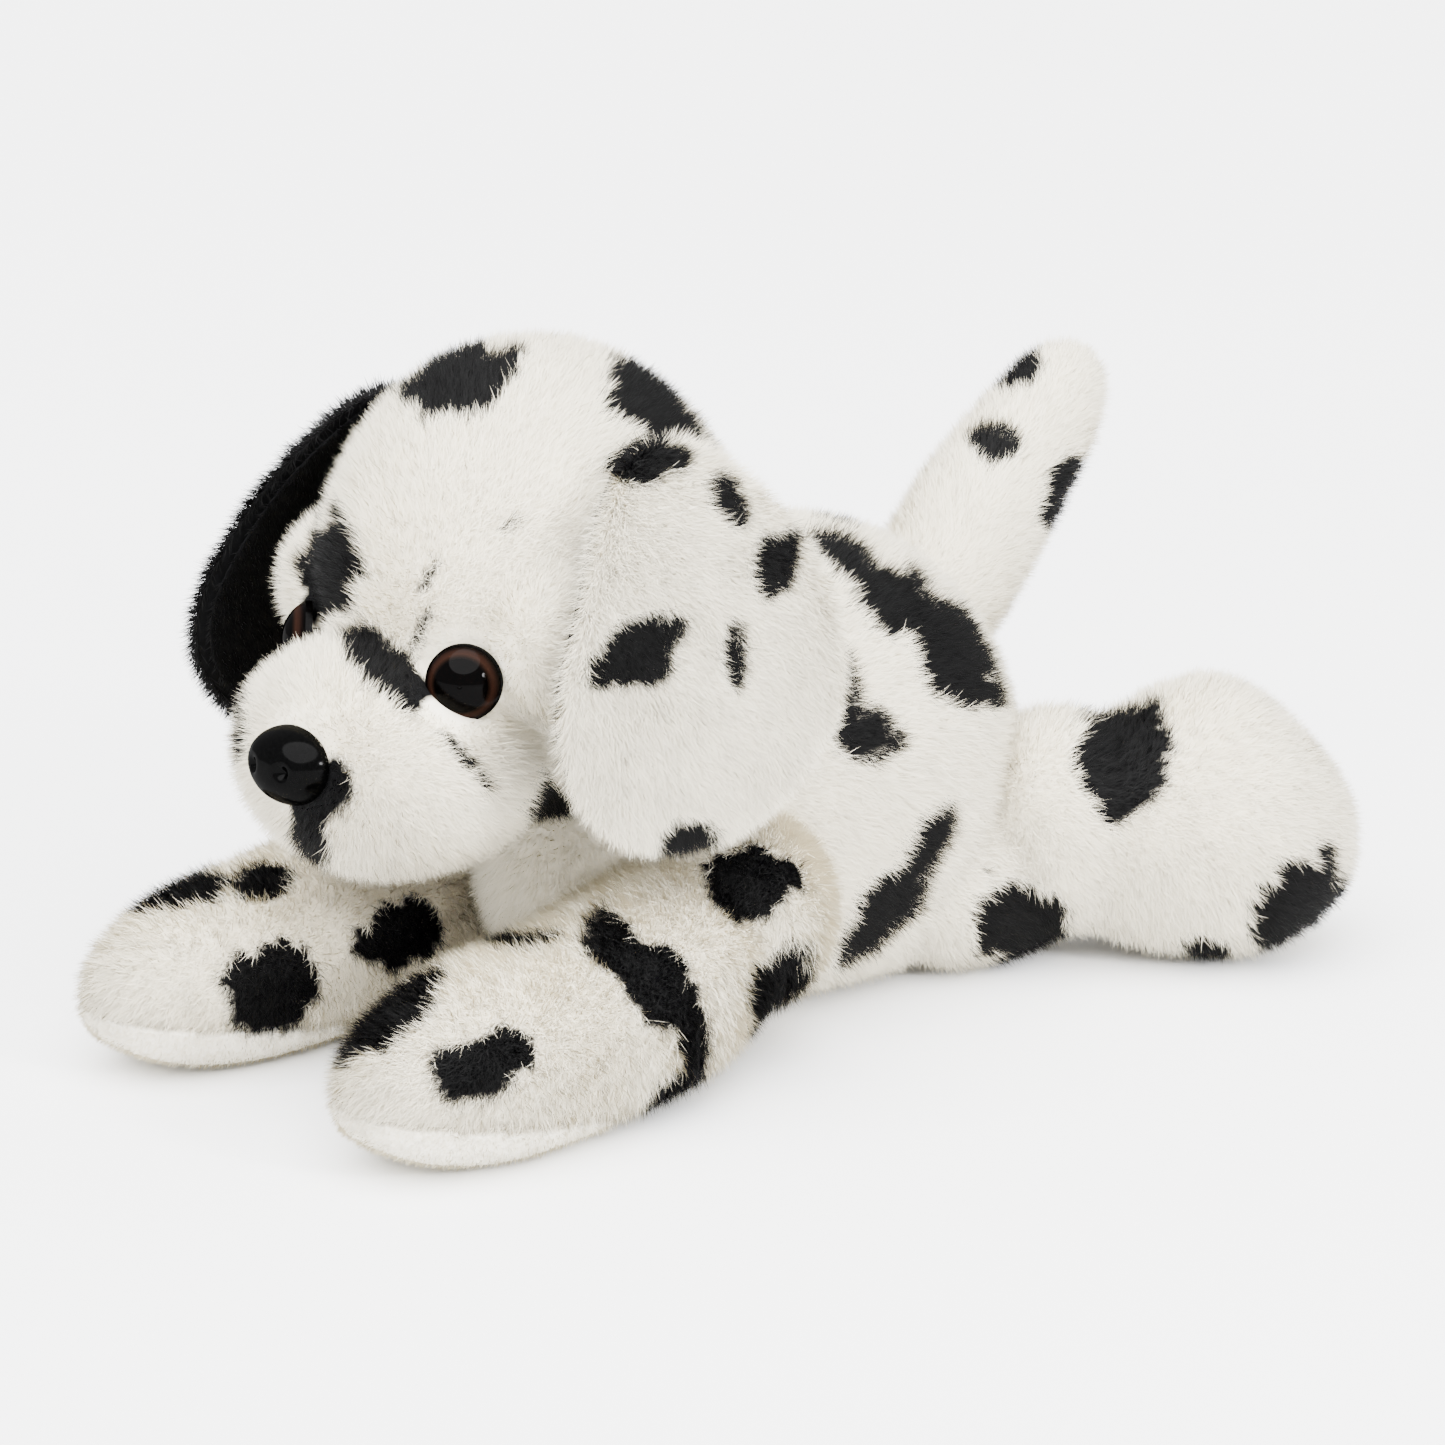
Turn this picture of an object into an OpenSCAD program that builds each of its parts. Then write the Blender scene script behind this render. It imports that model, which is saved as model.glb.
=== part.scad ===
// Plush Dalmatian puppy lying on its belly, head up and tail raised.
// Frame: +Z up, the nose points to -Y, the dog's own left is +X, the floor is z = 0.
// Every stuffed piece is a closed cover with its filling inside it. The limbs, tail, ears
// and neck meet the body in round seats, so each can turn on its seam without touching.

/* [Body] */

// width of the body across the belly
body_width = 74; // [66:1:84]

// height of the body at the rump
body_height = 71; // [65:1:78]

// length of the body from chest to rump
body_length = 108; // [102:1:116]

// thickness of the plush cover, pile included
cover_thickness = 3.2; // [2.4:0.2:4]

// clearance between pieces that turn against each other
joint_gap = 0.4; // [0.3:0.1:0.8]

/* [Head] */

// width of the head across the cheeks
head_width = 66; // [60:1:70]

// height of the head without the ears
head_height = 73; // [67:1:76]

// depth of the head from forehead to nape
head_depth = 66; // [60:1:70]

// how far the muzzle stands out from the middle of the head
muzzle_reach = 46; // [43:1:50]

// width of the muzzle
muzzle_width = 45; // [39:1:48]

// radius of the round neck piece hidden under the head
neck_radius = 16; // [14:0.5:17]

/* [Ears] */

// length of an ear from seam to tip
ear_length = 58; // [50:1:62]

// width of an ear at its widest
ear_width = 47; // [40:1:52]

// thickness of the outer ear panel
ear_thickness = 5; // [4:0.5:6]

/* [Legs] */

// width of a front paw
paw_width = 35; // [30:1:38]

// height of a front paw
paw_height = 29; // [26:1:31]

// reach of a front leg from shoulder to toe
front_reach = 76; // [69:1:84]

// width of a hind leg at its rounded end
hind_width = 48; // [42:1:52]

// height of a hind leg at its rounded end
hind_height = 46; // [40:1:50]

// reach of a hind leg from hip to end
hind_reach = 49; // [44:1:54]

/* [Tail] */

// length of the tail from its seam
tail_length = 52; // [45:1:60]

// thickness of the tail at its middle
tail_thickness = 20; // [17:0.5:22]

/* [Eyes and nose] */

// diameter of a round plastic eye
eye_diameter = 11; // [9:0.5:12]

// width of the plastic nose
nose_width = 12; // [10:0.5:14]

/* [Hidden] */

SIDES = 24;
RINGS = 14;

NECK = [0, -28, 49];
HEAD = [0, -40, 71];
SHOULDER = [27, -25, 22];
HIP = [31, 44, 22];
TAIL = [0, 50, 54];
EAR = [27, -42, 96];
PAW_POUCH = [SHOULDER[0] + 1.5, SHOULDER[1] - front_reach * 0.72, 0.3];
HIND_POUCH = [HIP[0] + hind_reach * 0.30, HIP[1] + hind_reach * 0.41, 0.3];
paw_pouch_radius = paw_width * 0.23;
paw_pouch_height = paw_height * 0.28;
hind_pouch_radius = hind_width * 0.23;
hind_pouch_height = hind_height * 0.25;

shoulder_radius = paw_width / 2 - 0.5;
hip_radius = hind_width / 2 - 4.5;
tail_radius = tail_thickness / 2 + 0.5;
filling_gap = 0.2;
pouch_floor = cover_thickness + filling_gap;
left_ear_yaw = 77;
right_ear_yaw = 96;

eye_yaw = 38;
eye_tilt = 5;
EYE = [17.5, -69, 64];
post_radius = 1.6;
NOSE = [0, HEAD[1] - muzzle_reach - 0.5, 52.5];

// ---------------------------------------------------------------- smooth closed skins

// one coordinate of the smooth curve through four neighbouring values
function curve4(a, b, c, d, u) =
    0.5 * (2 * b + (c - a) * u + (2 * a - 5 * b + 4 * c - d) * u * u
           + (3 * b - a - 3 * c + d) * u * u * u);

// the row at place t, from 0 to 1, on the smooth curve through all the rows
function row_at(rows, t) =
    let (n = len(rows) - 1, s = min(t * n, n - 0.0001), i = floor(s), u = s - i)
    [for (k = [0 : len(rows[0]) - 1])
        curve4(rows[max(i - 1, 0)][k], rows[i][k], rows[i + 1][k],
               rows[min(i + 2, n)][k], u)];

// how much of the full girth is left at place t, with ends rounded like a cushion
function girth(t, fullness) = pow(max(1 - pow(abs(2 * t - 1), fullness), 0), 0.5);

// one point of a ring: [x, y, z, half width, half height, yaw, pitch] is the ring's row,
// and a sag under 1 fills out its lower half the way pellets settle
function ring_point(row, scale, inset, angle, floor_z, sag) =
    let (
        side = [cos(row[5]), sin(row[5]), 0],
        ahead = [-sin(row[5]) * cos(row[6]), cos(row[5]) * cos(row[6]), sin(row[6])],
        up = cross(side, ahead),
        w = max(row[3] - inset, 0.5) * scale,
        h = max(row[4] - inset, 0.5) * scale,
        across = sign(cos(angle)) * pow(abs(cos(angle)), sin(angle) < 0 ? sag : 1),
        p = [row[0], row[1], row[2]] + side * w * across + up * h * sin(angle)
    )
    [p[0], p[1], max(p[2], floor_z)];

// a closed skin through the rings, its two ends pulled in by the inset as well
module soft_form(rows, inset = 0, fullness = 2.6, floor_z = 0, sides = SIDES, rings = RINGS,
                 sag = 1) {
    first = row_at(rows, 0);
    last = row_at(rows, 1);
    span = norm([for (k = [0 : 2]) last[k] - first[k]]);
    pull = inset / span;
    places = [for (i = [0 : rings]) (1 - cos(180 * i / rings)) / 2];
    middle = [
        for (i = [1 : rings - 1]) let (t = places[i], row = row_at(rows, pull + (1 - 2 * pull) * t))
            for (j = [0 : sides - 1])
                ring_point(row, girth(t, fullness), inset, 360 * j / sides, floor_z + inset, sag)
    ];
    ends = [for (t = [pull, 1 - pull]) let (row = row_at(rows, t))
        [row[0], row[1], max(row[2], floor_z + inset)]];
    points = concat(middle, ends);
    start_pole = len(middle);
    end_pole = start_pole + 1;
    last_ring = (rings - 2) * sides;
    faces = concat(
        [for (j = [0 : sides - 1]) [start_pole, (j + 1) % sides, j]],
        [for (i = [0 : rings - 3]) for (j = [0 : sides - 1])
            let (a = i * sides + j, b = i * sides + (j + 1) % sides)
            each [[a, b, b + sides], [a, b + sides, a + sides]]],
        [for (j = [0 : sides - 1])
            [end_pole, last_ring + j, last_ring + (j + 1) % sides]]
    );
    polyhedron(points, faces);
}

// a flat round cushion with a rounded rim, lying level
module pouch(radius, height) {
    rotate_extrude($fn = 48)
        union() {
            translate([0, -height / 2])
                square([radius - height / 2, height]);
            intersection() {
                translate([radius - height / 2, 0])
                    circle(d = height);
                translate([0, -height / 2])
                    square([radius, height]);
            }
        }
}

// the hollow in a filling that a pouch lies in, open below towards the cover
module pouch_bed(place, radius, height) {
    for (drop = [0, 3])
        translate(place + [0, 0, pouch_floor + height / 2 - drop])
            pouch(radius + filling_gap, height + 2 * filling_gap);
}

// a copy of a left-hand piece on the dog's right
module on_right() {
    mirror([1, 0, 0])
        children();
}

// ---------------------------------------------------------------- body

module body_form(inset = 0) {
    w = body_width / 2;
    h = body_height / 2;
    y0 = -body_length * 0.42;
    soft_form([
        [0, y0, 25, w * 0.74, 25, 0, 0],
        [0, y0 + body_length * 0.20, 29, w * 0.86, h * 0.88, 0, 0],
        [0, y0 + body_length * 0.42, 33, w * 0.96, h * 0.98, 0, 0],
        [0, y0 + body_length * 0.64, 34.5, w, h * 1.02, 0, 0],
        [0, y0 + body_length * 0.84, 33, w * 0.88, h * 0.98, 0, 0],
        [0, y0 + body_length, 30, w * 0.72, h * 0.90, 0, 0]
    ], inset, 2.7, 0, 32, 18, 0.42);
}

// the space the head, neck, limbs and tail need while they turn
module body_seats() {
    translate(HEAD + [0, -1, 0])
        sphere(r = head_height / 2 + 6, $fn = 72);
    translate(NECK)
        sphere(r = neck_radius + joint_gap, $fn = 72);
    for (m = [0, 1]) mirror([m, 0, 0]) {
        swept_seat(SHOULDER, shoulder_radius + joint_gap, 30, [165, 192], 0.6);
        swept_seat(HIP, hip_radius + joint_gap, 30, [20, 52], 4.6);
    }
    translate(TAIL)
        rotate([20, 10, 0])
            sphere(r = tail_radius + joint_gap, $fn = 72);
    hull() {
        translate(TAIL)
            sphere(r = tail_radius - 2, $fn = 24);
        for (s = [-1, 1])
            translate(TAIL + [s * 9, 20, 20])
                sphere(r = tail_radius + joint_gap, $fn = 24);
    }
}

// a round seat joined to the fan that a limb sweeps level with the floor
module swept_seat(centre, radius, reach, bearings, growth) {
    translate(centre)
        rotate([15, 90, 0])
            sphere(r = radius, $fn = 72);
    hull() {
        translate(centre - [0, 0, 4])
            sphere(r = radius - 3, $fn = 24);
        for (b = bearings)
            for (drop = [0, 9])
                translate(centre + [reach * sin(b), reach * cos(b), -drop])
                    sphere(r = radius + growth, $fn = 24);
    }
}

module body_cover() {
    color([0.93, 0.92, 0.88])
        difference() {
            body_form();
            body_form(cover_thickness);
            body_seats();
        }
}

module body_filling() {
    color([0.97, 0.97, 0.97])
        difference() {
            body_form(cover_thickness + filling_gap);
            body_seats();
            pouch_bed([0, 10, 0], 20, 14);
        }
}

module belly_pellet_pouch() {
    color([0.80, 0.80, 0.78])
        translate([0, 10, pouch_floor + 7])
            pouch(20, 14);
}

// ---------------------------------------------------------------- neck

module neck_cover() {
    color([0.93, 0.92, 0.88])
        translate(NECK)
            difference() {
                sphere(r = neck_radius, $fn = 120);
                sphere(r = neck_radius - cover_thickness, $fn = 120);
            }
}

module neck_filling() {
    color([0.97, 0.97, 0.97])
        translate(NECK)
            sphere(r = neck_radius - cover_thickness - filling_gap, $fn = 120);
}

// ---------------------------------------------------------------- head

module head_form(inset = 0) {
    w = head_width / 2;
    h = head_height / 2;
    d = head_depth / 2;
    soft_form([
        [0, HEAD[1] + d * 0.92, HEAD[2] - 3, w, h * 0.98, 180, 0],
        [0, HEAD[1] + d * 0.4, HEAD[2] - 1, w, h, 180, 0],
        [0, HEAD[1] - d * 0.3, HEAD[2], w * 0.97, h, 180, 0],
        [0, HEAD[1] - d, HEAD[2] - 3, w * 0.86, h * 0.97, 180, 0]
    ], inset, 2.15, 0, 32, 18);
}

module muzzle_form(inset = 0) {
    w = muzzle_width / 2;
    soft_form([
        [0, HEAD[1] - 4, 50, w * 0.9, 17, 180, 0],
        [0, HEAD[1] - muzzle_reach * 0.45, 50.5, w, 18.7, 180, 0],
        [0, HEAD[1] - muzzle_reach * 0.75, 50.5, w, 18.4, 180, 0],
        [0, HEAD[1] - muzzle_reach, 50, w * 0.9, 16.5, 180, 0]
    ], inset, 2.8, 0, 28, 14);
}

module face_form(inset = 0) {
    head_form(inset);
    muzzle_form(inset);
}

// the sockets that the neck, the eyes and the nose take out of the head
module head_seats() {
    translate(NECK)
        sphere(r = neck_radius + joint_gap, $fn = 120);
    for (m = [0, 1]) mirror([m, 0, 0])
        at_eye() {
            translate([0, 0, -1])
                cylinder(r = eye_diameter / 2 + 0.1, h = 12, $fn = 48);
            translate([0, 0, -16])
                cylinder(r = post_radius + 0.05, h = 20, $fn = 48);
        }
    at_nose() {
        nose_cap(0.1);
        translate([0, 0, -18])
            cylinder(r = post_radius + 0.05, h = 20, $fn = 48);
    }
}

module head_cover() {
    color([0.93, 0.92, 0.88])
        difference() {
            face_form();
            face_form(cover_thickness);
            head_seats();
        }
}

module head_filling() {
    color([0.97, 0.97, 0.97])
        difference() {
            face_form(cover_thickness + filling_gap);
            head_seats();
            for (m = [0, 1]) mirror([m, 0, 0])
                at_eye()
                    translate([0, 0, -17])
                        cylinder(r = eye_diameter / 2 + 1.2, h = 30, $fn = 48);
            at_nose()
                translate([0, 0, -16])
                    cylinder(r = nose_width / 2 + 1.2, h = 30, $fn = 48);
        }
}

// ---------------------------------------------------------------- eyes and nose

// moves a piece drawn on the floor, facing up, to the left eye, facing out
module at_eye() {
    translate(EYE)
        rotate([0, 0, eye_yaw])
            rotate([90 - eye_tilt, 0, 0])
                children();
}

module at_nose() {
    translate(NOSE)
        rotate([84, 0, 0])
            children();
}

module left_eye_dome() {
    color([0.85, 0.85, 0.88, 0.4])
        at_eye()
            rotate_extrude($fn = 64)
                intersection() {
                    translate([0, -3])
                        circle(r = sqrt(9 + pow(eye_diameter / 2 - 0.1, 2)), $fn = 120);
                    square([eye_diameter, eye_diameter]);
                }
}

module left_eye_post() {
    color([0.22, 0.12, 0.09])
        at_eye() {
            translate([0, 0, -1])
                cylinder(d = eye_diameter, h = 1, $fn = 64);
            translate([0, 0, -13])
                cylinder(r = post_radius, h = 12.5, $fn = 48);
        }
}

module left_eye_washer() {
    color([0.85, 0.85, 0.83])
        at_eye()
            translate([0, 0, -9.5])
                difference() {
                    cylinder(r = eye_diameter / 2 + 0.8, h = 1.2, $fn = 48);
                    translate([0, 0, -1])
                        cylinder(r = post_radius + 0.02, h = 4, $fn = 48);
                }
}

module right_eye_dome() {
    on_right()
        left_eye_dome();
}

module right_eye_post() {
    on_right()
        left_eye_post();
}

module right_eye_washer() {
    on_right()
        left_eye_washer();
}

// the rounded cap of the nose, wider than it is high, facing up
module nose_cap(grow = 0) {
    w = nose_width / 2 + grow;
    soft_form([
        [0, 0, -2.2 - grow, w * 0.9, w * 0.78, 0, 90],
        [0, 0, 0, w, w * 0.86, 0, 90],
        [0, 0, 2, w, w * 0.86, 0, 90],
        [0, 0, 4 + grow, w * 0.9, w * 0.78, 0, 90]
    ], 0, 2.4, -50, 24, 10);
}

module nose() {
    color([0.04, 0.04, 0.045])
        at_nose() {
            nose_cap();
            translate([0, 0, -13])
                cylinder(r = post_radius, h = 13, $fn = 48);
        }
}

module nose_washer() {
    color([0.85, 0.85, 0.83])
        at_nose()
            translate([0, 0, -9.5])
                difference() {
                    cylinder(r = nose_width / 2 + 0.8, h = 1.2, $fn = 48);
                    translate([0, 0, -1])
                        cylinder(r = post_radius + 0.02, h = 4, $fn = 48);
                }
}

// ---------------------------------------------------------------- ears

// one sheet of an ear on the left side, moved out from its middle by the shift;
// the yaw turns its broad side and the flare carries its lower end outward
module ear_sheet(shift, half_thickness, yaw, flare) {
    x = EAR[0] + shift * sin(yaw);
    y = EAR[1] - shift * cos(yaw);
    w = ear_width / 2;
    drop = ear_length;
    rows = [
        for (r = [[0, 1.5, 0, 0.42], [0.14, 6.5, 0, 0.62], [0.34, 11.5, -1, 0.84],
                  [0.56, 14, -3, 1], [0.78, 14.5, -5, 0.98], [1, 13.5, -6, 0.86]])
            [x + r[1] + flare * r[0], y + r[2], EAR[2] - drop * r[0],
             w * r[3], half_thickness, yaw, -90]
    ];
    soft_form(rows, 0, 3.4, 0, 24, 14);
}

module left_ear_outer() {
    color([0.93, 0.92, 0.88])
        ear_sheet(ear_thickness * 0.14, ear_thickness * 0.36, left_ear_yaw, 0);
}

module left_ear_lining() {
    color([0.08, 0.08, 0.10])
        ear_sheet(-ear_thickness * 0.37, ear_thickness * 0.13, left_ear_yaw, 0);
}

module right_ear_outer() {
    color([0.08, 0.08, 0.09])
        on_right()
            ear_sheet(ear_thickness * 0.14, ear_thickness * 0.36, right_ear_yaw, 4);
}

module right_ear_lining() {
    color([0.08, 0.08, 0.10])
        on_right()
            ear_sheet(-ear_thickness * 0.37, ear_thickness * 0.13, right_ear_yaw, 4);
}

// ---------------------------------------------------------------- front legs

module front_leg_form(inset = 0) {
    w = paw_width / 2;
    h = paw_height / 2;
    x = SHOULDER[0];
    y = SHOULDER[1];
    soft_form([
        [x, y + 10, 21, w * 0.84, h * 1.05, 180, 0],
        [x + 0.5, y - front_reach * 0.12, 18.5, w, h * 1.2, 180, 0],
        [x + 1, y - front_reach * 0.34, 15.5, w * 1.04, h * 1.1, 180, 0],
        [x + 1.2, y - front_reach * 0.56, 13.5, w, h * 1.03, 180, 0],
        [x + 1.5, y - front_reach * 0.78, 13, w, h * 1.06, 180, 0],
        [x + 1.5, y - front_reach, 12, w * 0.96, h * 0.97, 180, 0]
    ], inset, 3, 0, 24, 18, 0.55);
    translate(SHOULDER)
        rotate([10, 20, 15])
            sphere(r = shoulder_radius - inset, $fn = 120);
}

// the low slab of space that the sole panel takes up at the front of the paw
module sole_space() {
    translate([0, SHOULDER[1] - front_reach * 0.5 - 60, -1])
        cube([80, 60, 8]);
}

module left_front_leg_cover() {
    color([0.93, 0.92, 0.88])
        difference() {
            front_leg_form();
            front_leg_form(cover_thickness);
            sole_space();
        }
}

module left_paw_sole() {
    color([0.96, 0.96, 0.95])
        intersection() {
            difference() {
                front_leg_form();
                front_leg_form(cover_thickness);
            }
            sole_space();
        }
}

module left_front_leg_filling() {
    color([0.97, 0.97, 0.97])
        difference() {
            front_leg_form(cover_thickness + filling_gap);
            pouch_bed(PAW_POUCH, paw_pouch_radius, paw_pouch_height);
        }
}

module left_paw_pellet_pouch() {
    color([0.80, 0.80, 0.78])
        translate(PAW_POUCH + [0, 0, pouch_floor + paw_pouch_height / 2])
            pouch(paw_pouch_radius, paw_pouch_height);
}

module right_front_leg_cover() {
    on_right()
        left_front_leg_cover();
}

module right_paw_sole() {
    on_right()
        left_paw_sole();
}

module right_front_leg_filling() {
    on_right()
        left_front_leg_filling();
}

module right_paw_pellet_pouch() {
    on_right()
        left_paw_pellet_pouch();
}

// ---------------------------------------------------------------- hind legs

module hind_leg_form(inset = 0) {
    w = hind_width / 2;
    h = hind_height / 2;
    bearing = 36;
    rows = [
        for (r = [[-10, 21, 0.66, 0.70], [8, 21, 0.80, 0.85], [24, 22.5, 0.97, 1.02],
                  [hind_reach * 0.74, 22.5, 1, 1.04], [hind_reach, 21, 0.92, 0.95]])
            [HIP[0] + r[0] * sin(bearing), HIP[1] + r[0] * cos(bearing), r[1],
             w * r[2], h * r[3], -bearing, 0]
    ];
    soft_form(rows, inset, 2.5, 0, 28, 16, 0.55);
    translate(HIP)
        rotate([10, 20, 15])
            sphere(r = hip_radius - inset, $fn = 120);
}

module left_hind_leg_cover() {
    color([0.93, 0.92, 0.88])
        difference() {
            hind_leg_form();
            hind_leg_form(cover_thickness);
        }
}

module left_hind_leg_filling() {
    color([0.97, 0.97, 0.97])
        difference() {
            hind_leg_form(cover_thickness + filling_gap);
            pouch_bed(HIND_POUCH, hind_pouch_radius, hind_pouch_height);
        }
}

module left_hind_pellet_pouch() {
    color([0.80, 0.80, 0.78])
        translate(HIND_POUCH + [0, 0, pouch_floor + hind_pouch_height / 2])
            pouch(hind_pouch_radius, hind_pouch_height);
}

module right_hind_leg_cover() {
    on_right()
        left_hind_leg_cover();
}

module right_hind_leg_filling() {
    on_right()
        left_hind_leg_filling();
}

module right_hind_pellet_pouch() {
    on_right()
        left_hind_pellet_pouch();
}

// ---------------------------------------------------------------- tail

module tail_form(inset = 0) {
    w = tail_thickness / 2;
    soft_form([
        [0, TAIL[1] - 4, TAIL[2] - 4, w, w, 0, 42],
        [0, TAIL[1] + tail_length * 0.19, TAIL[2] + tail_length * 0.17, w, w, 0, 42],
        [0, TAIL[1] + tail_length * 0.43, TAIL[2] + tail_length * 0.40, w * 0.97, w * 0.97, 0, 44],
        [0, TAIL[1] + tail_length * 0.66, TAIL[2] + tail_length * 0.65, w * 0.92, w * 0.92, 0, 48]
    ], inset, 3.6, 0, 24, 14);
    translate(TAIL)
        rotate([20, 10, 0])
            sphere(r = tail_radius - inset, $fn = 120);
}

module tail_cover() {
    color([0.93, 0.92, 0.88])
        difference() {
            tail_form();
            tail_form(cover_thickness);
        }
}

module tail_filling() {
    color([0.97, 0.97, 0.97])
        tail_form(cover_thickness + filling_gap);
}

// ---------------------------------------------------------------- what is drawn

body_cover();
body_filling();
belly_pellet_pouch();
neck_cover();
neck_filling();
head_cover();
head_filling();
left_eye_dome();
left_eye_post();
left_eye_washer();
right_eye_dome();
right_eye_post();
right_eye_washer();
nose();
nose_washer();
left_ear_outer();
left_ear_lining();
right_ear_outer();
right_ear_lining();
left_front_leg_cover();
left_front_leg_filling();
left_paw_sole();
left_paw_pellet_pouch();
right_front_leg_cover();
right_front_leg_filling();
right_paw_sole();
right_paw_pellet_pouch();
left_hind_leg_cover();
left_hind_leg_filling();
left_hind_pellet_pouch();
right_hind_leg_cover();
right_hind_leg_filling();
right_hind_pellet_pouch();
tail_cover();
tail_filling();
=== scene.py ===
# %% [markdown]
# # A plush puppy lying on its belly
# The toy is sewn from pile fabric and stuffed. Every soft part is drawn twice: a smooth skin,
# which is the backing cloth pushed out by the filling, and the pile, which is thousands of
# short tapered fibres standing on that skin. The spots are woven into the pile, so a fibre takes
# its colour at its root, and a black patch ends in a feathered edge where fibres lie over
# the white ones.

# %% The fixed frame
import math

import bpy
import numpy as np
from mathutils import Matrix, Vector


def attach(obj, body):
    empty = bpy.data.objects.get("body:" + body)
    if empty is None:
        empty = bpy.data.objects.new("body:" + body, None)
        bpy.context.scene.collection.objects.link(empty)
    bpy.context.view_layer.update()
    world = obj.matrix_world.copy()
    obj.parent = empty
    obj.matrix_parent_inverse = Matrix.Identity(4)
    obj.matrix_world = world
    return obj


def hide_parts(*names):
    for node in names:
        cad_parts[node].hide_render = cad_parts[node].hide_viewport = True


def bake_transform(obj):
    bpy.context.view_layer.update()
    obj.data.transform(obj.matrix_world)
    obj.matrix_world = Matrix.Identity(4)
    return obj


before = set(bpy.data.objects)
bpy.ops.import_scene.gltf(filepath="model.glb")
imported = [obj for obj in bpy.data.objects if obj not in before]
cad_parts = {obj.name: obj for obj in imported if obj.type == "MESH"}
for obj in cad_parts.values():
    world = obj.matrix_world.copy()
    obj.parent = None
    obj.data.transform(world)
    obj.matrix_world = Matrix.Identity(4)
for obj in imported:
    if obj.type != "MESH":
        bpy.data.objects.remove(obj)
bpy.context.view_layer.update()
MM = 0.001

# %% [markdown]
# A sewn and stuffed limb is a closed tube of cloth whose girth changes smoothly along it. It can
# be drawn as rings threaded on a line of stations, each with a place, a half width, a half
# height and the way it faces. A smooth curve runs through the stations, and the girth closes
# at both ends like the end of a cushion. The lower half can be filled out, because pellets
# settle there.

# %% Smooth closed skins
def through_stations(stations, t):
    """The row at place t of the Catmull-Rom curve that runs through every station."""
    s = np.asarray(stations, float)
    n = len(s) - 1
    x = np.minimum(np.asarray(t, float) * n, n - 1e-6)
    i = np.floor(x).astype(int)
    u = (x - i)[:, None]
    a, b = s[np.maximum(i - 1, 0)], s[i]
    c, d = s[i + 1], s[np.minimum(i + 2, n)]
    return 0.5 * (2 * b + (c - a) * u + (2 * a - 5 * b + 4 * c - d) * u**2
                  + (3 * b - a - 3 * c + d) * u**3)


def soft_form(stations, inset=0.0, fullness=2.6, floor=0.0, sides=48, rings=40, sag=1.0):
    """Rings of an ellipse (half width, half height) on the station curve, scaled along it by
    the square root of 1 - |2t - 1| ** fullness. Returns points in mm and faces."""
    s = np.asarray(stations, float)
    pull = inset / np.linalg.norm(s[-1, :3] - s[0, :3])
    t = (1 - np.cos(np.pi * np.arange(rings + 1) / rings)) / 2
    row = through_stations(s, pull + (1 - 2 * pull) * t)
    girth = np.sqrt(np.maximum(1 - np.abs(2 * t - 1) ** fullness, 0))
    yaw, pitch = np.radians(row[:, 5]), np.radians(row[:, 6])
    side = np.stack([np.cos(yaw), np.sin(yaw), 0 * yaw], 1)
    ahead = np.stack([-np.sin(yaw) * np.cos(pitch), np.cos(yaw) * np.cos(pitch),
                      np.sin(pitch)], 1)
    up = np.cross(side, ahead)
    angle = 2 * np.pi * np.arange(sides) / sides
    cos, sin = np.cos(angle), np.sin(angle)
    across = np.sign(cos) * np.abs(cos) ** np.where(sin < 0, sag, 1.0)
    w = np.maximum(row[:, 3] - inset, 0.5) * girth
    h = np.maximum(row[:, 4] - inset, 0.5) * girth
    p = (row[:, None, :3] + side[:, None] * (w[:, None] * across)[..., None]
         + up[:, None] * (h[:, None] * sin)[..., None])
    p = p[1:-1].reshape(-1, 3)
    p = np.vstack([p, row[0, :3], row[-1, :3]])
    p[:, 2] = np.maximum(p[:, 2], floor + inset)
    i, j = np.meshgrid(np.arange(rings - 2), np.arange(sides), indexing="ij")
    a, b = i * sides + j, i * sides + (j + 1) % sides
    quads = np.stack([a, a + sides, b + sides, b], -1).reshape(-1, 4)
    j = np.arange(sides)
    start, end, last = len(p) - 2, len(p) - 1, (rings - 2) * sides
    caps = np.vstack([np.stack([0 * j + start, j, (j + 1) % sides], 1),
                      np.stack([0 * j + end, last + (j + 1) % sides, last + j], 1)])
    return p, quads.tolist() + caps.tolist()


def mesh_object(name, points_mm, faces):
    """A smooth-shaded mesh object at the origin, from points in mm."""
    mesh = bpy.data.meshes.new(name)
    mesh.from_pydata((np.asarray(points_mm) * MM).tolist(), [], faces)
    mesh.polygons.foreach_set("use_smooth", np.ones(len(mesh.polygons), bool))
    mesh.update()
    obj = bpy.data.objects.new(name, mesh)
    bpy.context.scene.collection.objects.link(obj)
    return obj


def joined_skin(name, forms, voxel, smoothing):
    """Several closed forms made one skin: a voxel remesh of them all, then smoothed."""
    points, faces, n = [], [], 0
    for p, f in forms:
        points.append(p)
        faces += [[k + n for k in face] for face in f]
        n += len(p)
    rough = mesh_object(name + "_rough", np.vstack(points), faces)
    remesh = rough.modifiers.new("remesh", "REMESH")
    remesh.mode = "VOXEL"
    remesh.voxel_size = voxel * MM
    relax = rough.modifiers.new("relax", "SMOOTH")
    relax.factor = 0.5
    relax.iterations = smoothing
    dg = bpy.context.evaluated_depsgraph_get()
    mesh = bpy.data.meshes.new_from_object(rough.evaluated_get(dg))
    bpy.data.objects.remove(rough)
    mesh.name = name
    mesh.polygons.foreach_set("use_smooth", np.ones(len(mesh.polygons), bool))
    obj = bpy.data.objects.new(name, mesh)
    bpy.context.scene.collection.objects.link(obj)
    return obj


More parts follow.
